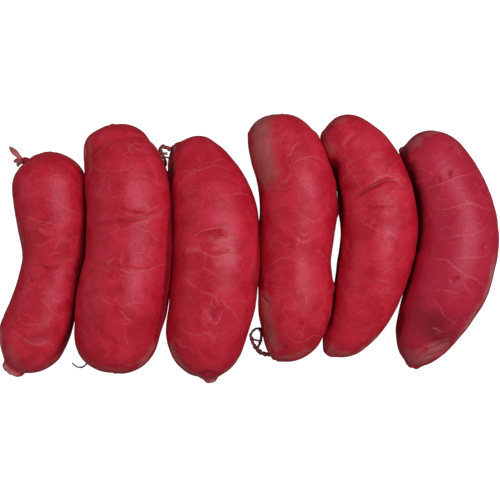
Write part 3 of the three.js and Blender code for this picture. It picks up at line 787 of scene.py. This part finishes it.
def curveThrough(points, step):  # a smooth line through a few places, with a place every step
    line = []
    ends = [points[0], *points, points[-1]]
    for i in range(1, len(ends) - 2):
        a, b, c, d = (Vector(p) for p in ends[i - 1:i + 3])
        count = max(2, round((c - b).length / step))
        for k in range(count):
            t = k / count
            line.append(0.5 * (2 * b + (c - a) * t + (2 * a - 5 * b + 4 * c - d) * t * t
                               + (3 * b - a - 3 * c + d) * t ** 3))
    line.append(Vector(points[-1]))
    return line


def markObject(name, lines):  # lines of (places on the surface, half-width, strengths) as one mesh of edges
    verts, edges, widths, strengths = [], [], [], []
    for places, width, power in lines:
        first = len(verts)
        verts += places
        edges += [(first + i, first + i + 1) for i in range(len(places) - 1)]
        widths += [width] * len(places)
        strengths += power
    mesh = bpy.data.meshes.new(name)
    mesh.from_pydata([tuple(v) for v in verts], edges, [])
    for label, values in (("width", widths), ("strength", strengths)):
        mesh.attributes.new(label, "FLOAT", "POINT").data.foreach_set("value", values)
    return link(name, mesh)


def layMarks(surface, rows, rng, taper):
    lines = []
    for width, strength, *numbers in rows:
        flat = curveThrough(placesIn(numbers, 2), marks["step"])
        sway = 0.0
        places, power = [], []
        for i, p in enumerate(flat):
            sway = marks["swayMemory"] * sway + rng.uniform(-1, 1) * marks["wiggle"] * taper
            hit = surface.ray_cast(*lineOfSight(p.x + sway, p.y + sway))[0]
            if hit is None:
                eye, ray = lineOfSight(p.x, p.y)
                hit = surface.find_nearest(eye + ray * (view["height"] - view["level"]) / -ray.z)[0]
            share = i / max(1, len(flat) - 1)
            places.append(hit)
            power.append(strength * (1 - taper * abs(2 * share - 1) ** 3 * marks["tipFade"]))
        for _ in range(round(marks["settling"] * (1 - taper))):  # a broad patch follows the flank evenly
            mean = [(a + b + c) / 3 for a, b, c in zip(places, places[1:], places[2:])]
            places = [places[0], *(surface.find_nearest(place)[0] for place in mean), places[-1]]
        lines.append((places, width * mm, power))
    return lines


def strayVeins(surface, mesh, rng):  # faint veins that wander over the whole skin, the underside too
    lines, lean = [], marks["strayLean"]
    for _ in range(marks["strayCount"]):
        spot = mesh.vertices[rng.randrange(len(mesh.vertices))]
        place, normal = spot.co.copy(), spot.normal.copy()
        heading = Vector((rng.uniform(-1, 1), rng.uniform(-lean, lean), rng.uniform(-1, 1)))
        length = rng.uniform(*marks["strayLength"])
        strength = rng.uniform(*marks["strayStrength"])
        turn, places = 0.0, [place.copy()]
        for _ in range(int(length / marks["step"])):
            heading = (heading - normal * heading.dot(normal)).normalized()
            turn = marks["turnMemory"] * turn + rng.uniform(-1, 1) * marks["strayTurn"]
            heading = (heading + normal.cross(heading) * turn).normalized()
            place, normal, _, _ = surface.find_nearest(place + heading * marks["step"] * mm)
            places.append(place.copy())
        count = len(places) - 1
        power = [strength * (1 - abs(2 * i / count - 1) ** 3) for i in range(count + 1)]
        lines.append((places, marks["veinWidth"] * marks["strayWidth"] * mm, power))
    return lines


def solidCopy(node):  # the solid with its loose triangles merged and its long faces made square again
    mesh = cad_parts[node].data.copy()
    mesh.materials.clear()
    shape = bmesh.new()
    shape.from_mesh(mesh)
    bmesh.ops.remove_doubles(shape, verts=shape.verts, dist=skin["merge"])
    turn, lean = skin["squareFaces"]
    bmesh.ops.join_triangles(shape, faces=shape.faces, angle_face_threshold=turn, angle_shape_threshold=lean)
    shape.to_mesh(mesh)
    shape.free()
    return link(node + "_form", mesh)


def cutOff(mesh, place, outward):  # takes off what lies outside a plane and closes the cut
    shape = bmesh.new()
    shape.from_mesh(mesh)
    whole = [*shape.verts, *shape.edges, *shape.faces]
    cut = bmesh.ops.bisect_plane(shape, geom=whole, dist=skin["onPlane"], plane_co=inFrame(*place),
                                 plane_no=Vector(outward), clear_outer=True)
    rim = [part for part in cut["geom_cut"] if isinstance(part, bmesh.types.BMEdge)]
    bmesh.ops.triangle_fill(shape, edges=rim, use_beauty=True)
    bmesh.ops.recalc_face_normals(shape, faces=shape.faces)
    shape.to_mesh(mesh)
    shape.free()


def smoothForm(node, knot=None):  # an even fine mesh of the solid's form, without a knot made by itself
    form = solidCopy(node)
    if knot:
        cutOff(form.data, *knot)
    rounding = form.modifiers.new("rounding", "SUBSURF")
    rounding.levels = rounding.render_levels = skin["rounding"]
    voxels = form.modifiers.new("voxels", "REMESH")
    voxels.mode = "VOXEL"
    voxels.voxel_size = skin["voxel"]
    voxels.use_smooth_shade = True
    settle = form.modifiers.new("settle", "SMOOTH")
    settle.factor, settle.iterations = skin["smoothing"]
    mesh = bakedMesh(form, node + "_skin")
    bpy.data.objects.remove(form)
    return mesh


def makeLink(sausage, tree, material):
    node = sausage["node"]
    rng = random.Random(node)
    mesh = smoothForm(node, sausage.get("knot"))
    piece = link(node + "_casing", mesh)
    shape = bmesh.new()
    shape.from_mesh(mesh)
    surface = BVHTree.FromBMesh(shape)
    shape.free()
    width, strength = marks["veinWidth"], marks["veinStrength"]
    veins = [(width, power * strength, *places) for power, *places in sausage["veins"]]
    creases = [(half * marks["creaseWidth"], *rest) for half, *rest in sausage["creases"]]
    sets = {
        "Veins": layMarks(surface, veins, rng, 1.0) + strayVeins(surface, mesh, rng),
        "Creases": layMarks(surface, creases, rng, 1.0),
        "Dried": layMarks(surface, sausage["dried"], rng, 0.0),
        "Pale": layMarks(surface, sausage["pale"], rng, 0.0),
        # painted shade along the gaps between neighbouring sausages
        "Pressed": layMarks(surface, sausage["pressed"], rng, 0.3),
    }
    drawn = {label: markObject(label, lines) for label, lines in sets.items()}
    modifier = piece.modifiers.new("linkSkin", "NODES")
    modifier.node_group = tree
    ends = {}
    for end in ("top", "bottom"):
        x, y, z, dx, dy = sausage[end]
        ends[end.title() + " Gather"] = inFrame(x, y, z)
        ends[end.title() + " Axis"] = Vector((dx, dy, 0)).normalized()
    values = {name: value for name, value in skin.items() if name[0].isupper()}
    own = {"Seed": sausage["seed"], "Dullness": sausage.get("dull", 0.0), "Casing": material}
    setInputs(modifier, {**values, **drawn, **ends, **own})
    finished = bakedMesh(piece, node + "_casing")
    piece.modifiers.clear()
    piece.data = finished
    for line in drawn.values():
        bpy.data.objects.remove(line)
    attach(piece, "root")
    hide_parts(node)
    print(node, "skin made,", len(finished.polygons), "faces")


# Twisted casing between the links, and the loose loops and scraps of it

strandNoise = {
    "seedStep": (0.13, 0.29, 0.19),
    "swell": 420.0,
    "crumple": 900.0,
    "blotch": 600.0,
    "blotchy": (0.30, 0.62, 0.25, 1.0),
    # how dark the painted shade in the knot's crumples is
    "crumpleShade": 0.55,
}
strandSides, routeStep = 14, 0.5
fullTurn = 6.2832


def twistedCasingTree():
    inputs = [
        ("Geometry", "Geometry"),
        *sockets("Float", "Step", "Turns Per Metre", "Flatness", "Lobe Depth", "Swelling", "Crumple",
                 "Paperiness", "Seed"),
        ("Casing", "Material"),
    ]
    tree, given, result = newTree("GeometryNodeTree", "twistedCasing", inputs, [("Geometry", "Geometry")])
    feeds = {"Curve": given["Geometry"], "Length": given["Step"]}
    line = outlet(tree, "GeometryNodeResampleCurve", feeds, mode="LENGTH")
    length = put(tree, "GeometryNodeSplineParameter").outputs["Length"]
    place = outlet(tree, "GeometryNodeInputPosition")
    seeded = vec(tree, "ADD", place, stretch(tree, strandNoise["seedStep"], given["Seed"]))
    tilt = times(tree, times(tree, length, given["Turns Per Metre"]), fullTurn)
    twisted = outlet(tree, "GeometryNodeSetCurveTilt", {"Curve": line, "Tilt": tilt})
    ring = outlet(tree, "GeometryNodeCurvePrimitiveCircle", {"Resolution": strandSides, "Radius": 1.0})
    angle = put(tree, "GeometryNodeSplineParameter").outputs["Factor"]
    lobes = calc(tree, "COSINE", times(tree, angle, 3 * fullTurn))
    lobed = stretch(tree, place, calc(tree, "MULTIPLY_ADD", lobes, given["Lobe Depth"], 1.0))
    flat = outlet(tree, "ShaderNodeCombineXYZ", {"X": 1.0, "Y": given["Flatness"], "Z": 1.0})
    feeds = {"Geometry": ring, "Position": vec(tree, "MULTIPLY", lobed, flat)}
    section = outlet(tree, "GeometryNodeSetPosition", feeds)
    swell = unrest(tree, seeded, strandNoise["swell"])
    thick = calc(tree, "MULTIPLY_ADD", swell, given["Swelling"], 1.0)
    radius = outlet(tree, "GeometryNodeInputRadius")
    feeds = {"Curve": twisted, "Profile Curve": section, "Scale": times(tree, thick, radius),
             "Fill Caps": True}
    tube = outlet(tree, "GeometryNodeCurveToMesh", feeds)
    rough = times(tree, unrest(tree, seeded, strandNoise["crumple"]), given["Crumple"])
    normal = outlet(tree, "GeometryNodeInputNormal")
    tube = outlet(tree, "GeometryNodeSetPosition", {"Geometry": tube, "Offset": stretch(tree, normal, rough)})
    blotch = ease(tree, cloud(tree, seeded, strandNoise["blotch"]), *strandNoise["blotchy"])
    papery = store(tree, tube, "papery", times(tree, blotch, given["Paperiness"]))
    # painted shade: blotches of the crumpled knot darkened; only the red casing reads this
    papery = store(tree, papery, "pressed", times(tree, blotch, strandNoise["crumpleShade"]))
    finishTree(tree, papery, given["Casing"], result)
    return tree


twistedStyle = {
    "Step": 0.35 * mm,
    "Turns Per Metre": 160.0,
    "Flatness": 0.8,
    "Lobe Depth": 0.16,
    "Swelling": 0.35,
    "Crumple": 0.12 * mm,
    "Paperiness": 0.18,
}
leafStyle = {**twistedStyle, "Turns Per Metre": 6.0, "Flatness": 0.34, "Swelling": 0.25, "Paperiness": 0.85}
knotStyle = {
    **twistedStyle, "Turns Per Metre": 60.0, "Lobe Depth": 0.2, "Crumple": 0.5 * mm, "Paperiness": 0.0,
}
lobeStyle = {**leafStyle, "Turns Per Metre": 12.0, "Flatness": 0.6, "Crumple": 0.3 * mm, "Paperiness": 0.6}

# Each strand's runs, in millimetres: radii spread evenly along the run, then x, y and z of its places
threadOneTwo = [
    ((0.5, 0.45), (-112.6, -56.9, 7.1, -110.6, -55.6, 4.2, -107.2, -53.4, 2.2, -104, -52, 1.3,
        -101, -51.6, 1.1, -96.5, -49.2, 1.1, -92.2, -43, 1.1, -89.4, -36, 1.1, -86.6, -31, 1.1,
        -83, -28.6, 1.1, -79, -29.6, 1.1, -75.6, -33.6, 1.1, -73.8, -40, 1.1, -73, -46, 1.1,
        -71, -50.5, 1.5, -68.4, -53.6, 3.8, -66.6, -55.2, 7.6)),
    ((0.5, 0.5, 0.45, 0.34), (-73.1, -45.4, 1.1, -74.6, -49, 1, -77.4, -52.6, 0.8, -80.2, -55.6, 0.6,
        -82.3, -57.3, 0.5, -84.9, -57.2, 0.5, -87.4, -55.3, 0.5)),
]
loopTwoThree = [
    ((0.6, 0.7), (-64.8, 57.4, 5, -62.8, 57, 3, -59.4, 55.6, 1.6, -55, 52.4, 1.3, -50.8, 47.6, 1.3,
        -47.4, 42.8, 1.4, -44.6, 40, 2.8, -42.4, 39.8, 5.6, -41, 40.6, 9, -40.6, 41.8, 12)),
    ((0.75, 0.8, 0.9, 1, 1.2), (-40.6, 41.8, 12, -41.1, 43.4, 14, -42.1, 45.6, 15, -42.8, 47.4, 15.4,
        -42.4, 48.5, 15.5, -41.2, 48.8, 15.4, -39.4, 48.2, 15, -37.9, 47.7, 14.6)),
    ((0.6, 0.75), (-42, 45.5, 15, -40.6, 45.6, 15, -39.4, 45.5, 14.9)),
    ((0.45, 0.5), (-41.3, 43.8, 14.2, -40, 43.9, 14.2, -38.7, 43.6, 14.2)),
]
ringThreeFour = [
    ((0.6, 0.6), (-18.2, -60.8, 8.8, -16.8, -59, 5.6, -14, -55.4, 2.6, -10.6, -50, 1.4, -7.4, -43, 1.2,
        -5, -35, 1.2, -3, -25, 1.2, 0.8, -16.6, 1.2, 4.8, -14.6, 1.2, 8.2, -18.6, 1.2, 9.2, -27, 1.2,
        8.4, -34.4, 1.4, 6.4, -36.6, 3, 5, -38, 5.6, 4.4, -38, 7.8)),
    ((0.6, 0.6, 0.65, 0.8, 0.95, 1.1, 1.15, 1), (4.4, -38, 7.8, 3.2, -37.7, 8.5, 1.7, -38.3, 8.4,
        0.5, -39.7, 8.2, -0.1, -41.2, 8.2, 0.4, -43.3, 8.2, 1.7, -46, 8.2, 3.3, -48.1, 8.2, 5, -49.4, 8.3,
        7.2, -50.1, 8.4, 9.4, -50.4, 8.6)),
    ((0.7, 0.75, 0.7), (4.4, -38.2, 7.8, 5, -39.6, 8.2, 5.1, -41.2, 8.4, 4.9, -43.2, 8.5, 4.2, -45.2, 8.5,
        3.2, -47.2, 8.3)),
    ((0.48, 0.48), (0.2, -41.6, 8.2, 1.4, -42.9, 8.3, 3, -43.5, 8.4, 4.8, -43.4, 8.5)),
]
strandFourFive = [
    ((0.62, 0.62), (12.6, 61.2, 4, 15.6, 60.8, 2, 20.4, 58.8, 1.4, 26.4, 53.4, 1.3, 31, 47.6, 1.3,
        34.2, 44, 1.3, 37.2, 44.6, 1.3, 37.6, 48, 1.4, 36.6, 51, 2.2, 35.2, 53.4, 4.2)),
]
strandFiveSix = [
    ((0.62, 0.62), (38.4, -49.2, 5.5, 40.4, -49.4, 3.4, 44, -48.8, 1.8, 51.4, -45.2, 1.3, 58.6, -39, 1.2,
        63.4, -30, 1.2, 67.6, -20.5, 1.2, 71.2, -14.8, 1.2, 75, -15.4, 1.2, 77, -20.6, 1.2,
        76.4, -27.4, 1.2, 74.4, -34.4, 1.2, 73, -41, 1.2, 73.8, -47.6, 1.6, 75.8, -51.4, 2.6,
        77.4, -53.6, 4.2)),
]
knotFirst = [
    ((2.2, 2.3, 2.1, 1.8, 1.2), (-101.6, 38.6, 16.5, -104, 40.8, 17.2, -105.8, 41.8, 17.6, -107.2, 42, 17.6,
        -108.4, 42, 17.5)),
]
lobesFirst = [
    ((1.1, 1.15, 1, 0.5), (-107.6, 41.6, 17.8, -109.4, 42, 17.8, -110.6, 41.8, 17.7, -111.4, 41.3, 17.6)),
    ((1.1, 1.15, 1, 0.45), (-107.4, 41.6, 17.7, -108.8, 41, 17.7, -109.4, 40.2, 17.6, -109.8, 39.2, 17.4)),
]
leafFirst = [
    ((0.95, 0.95, 1, 1.1, 1.35, 1.55, 1.3, 0.9, 0.25), (-107, 41.8, 18.2, -108.2, 42.8, 18.4,
        -109.8, 44.6, 18.7, -111.5, 46.3, 18.9, -113.2, 48.4, 19)),
]
strands = [
    ("twist_1_2_thread", "twist_1_2", twistedStyle, threadOneTwo, "casing_dried"),
    ("twist_2_3_loop", "twist_2_3", twistedStyle, loopTwoThree, "casing_dried"),
    ("twist_3_4_ring", "twist_3_4", twistedStyle, ringThreeFour, "casing_dried"),
    ("twist_4_5_strand", "twist_4_5", twistedStyle, strandFourFive, "casing_dried"),
    ("twist_5_6_strand", "twist_5_6", twistedStyle, strandFiveSix, "casing_dried"),
    ("link_1_knot", "link_1", knotStyle, knotFirst, "casing_red"),
    ("link_1_lobes", "link_1", lobeStyle, lobesFirst, "casing_dried"),
    ("link_1_leaf", "link_1", leafStyle, leafFirst, "casing_dried"),
]


def between(values, share):  # reads a list of evenly spread values at a share of the way along it
    reach = share * (len(values) - 1)
    first = min(int(reach), len(values) - 2)
    return values[first] + (values[first + 1] - values[first]) * (reach - first)


def makeStrand(name, node, style, runs, finish, tree, seed):
    curve = bpy.data.curves.new(name, "CURVE")
    curve.dimensions = "3D"
    curve.twist_mode = "Z_UP"
    for radii, route in runs:
        line = curveThrough(placesIn(route, 3), routeStep)
        spline = curve.splines.new("POLY")
        spline.points.add(len(line) - 1)
        for i, (point, place) in enumerate(zip(spline.points, line)):
            point.co = (*inFrame(*place), 1)
            point.radius = between(radii, i / (len(line) - 1)) * mm
    holder = link(name, curve)
    modifier = holder.modifiers.new("twistedCasing", "NODES")
    modifier.node_group = tree
    setInputs(modifier, {**style, "Seed": float(seed), "Casing": finishes[finish]})
    mesh = bakedMesh(holder, name)
    bpy.data.objects.remove(holder)
    piece = link(name, mesh)
    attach(piece, "root")
    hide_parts(node)
    print(name, "made,", len(mesh.polygons), "faces")


# The table and the light

table = {"glow": 1.0, "white": 0.35, "bounce": 0.12, "size": 3.0, "drop": 0.02 * mm}
lights = {
    "sky": {"place": (0.34, 0.14, 0.74), "size": 0.60, "power": 4.4},
    "fill": {"place": (-0.60, 0.05, 0.40), "size": 0.60, "power": 0.4},
    "room": 0.33,
}


def makeTable():
    half = table["size"] / 2
    mesh = bpy.data.meshes.new("paleTable")
    corners = [(-half, -half), (half, -half), (half, half), (-half, half)]
    mesh.from_pydata([(x, y, -table["drop"]) for x, y in corners], [], [(0, 1, 2, 3)])
    floor = link("paleTable", mesh)
    material = bpy.data.materials.new("paleTable")
    material.use_nodes = True
    tree = material.node_tree
    tree.nodes.clear()
    seen = put(tree, "ShaderNodeLightPath").outputs["Is Camera Ray"]
    bright, dull = ((table[name],) * 3 + (1,) for name in ("white", "bounce"))
    lit = outlet(tree, "ShaderNodeBsdfDiffuse", {"Color": bright})
    glow = outlet(tree, "ShaderNodeEmission", {"Strength": table["glow"]})
    shown = outlet(tree, "ShaderNodeAddShader", {0: lit, 1: glow})
    other = outlet(tree, "ShaderNodeBsdfDiffuse", {"Color": dull})
    mixed = outlet(tree, "ShaderNodeMixShader", {0: seen, 1: other, 2: shown})
    put(tree, "ShaderNodeOutputMaterial", {"Surface": mixed})
    mesh.materials.append(material)


def makeLights():
    for name in ("sky", "fill"):
        values = lights[name]
        lamp = bpy.data.lights.new(name, "AREA")
        lamp.shape = "DISK"
        lamp.size = values["size"]
        lamp.energy = values["power"]
        holder = link(name, lamp)
        holder.location = values["place"]
        holder.rotation_euler = (-Vector(values["place"])).to_track_quat("-Z", "Y").to_euler()
    world = bpy.data.worlds.new("room")
    world.use_nodes = True
    shade = world.node_tree.nodes["Background"].inputs
    shade["Color"].default_value = (1.0, 1.0, 1.0, 1)
    shade["Strength"].default_value = lights["room"]
    bpy.context.scene.world = world


makeCamera()
makeTable()
makeLights()
bpy.context.scene.view_settings.view_transform = "Standard"
print("camera, table and light ready")

mottle, web = mottleGroup(), webGroup()
finishes = {"casing_red": casingMaterial(mottle, web), "casing_dried": driedMaterial(mottle)}
skinTree = linkSkinTree()
for sausage in sausages:
    makeLink(sausage, skinTree, finishes["casing_red"])

strandTree = twistedCasingTree()
for i, (name, node, style, runs, finish) in enumerate(strands):
    makeStrand(name, node, style, runs, finish, strandTree, i + 1)
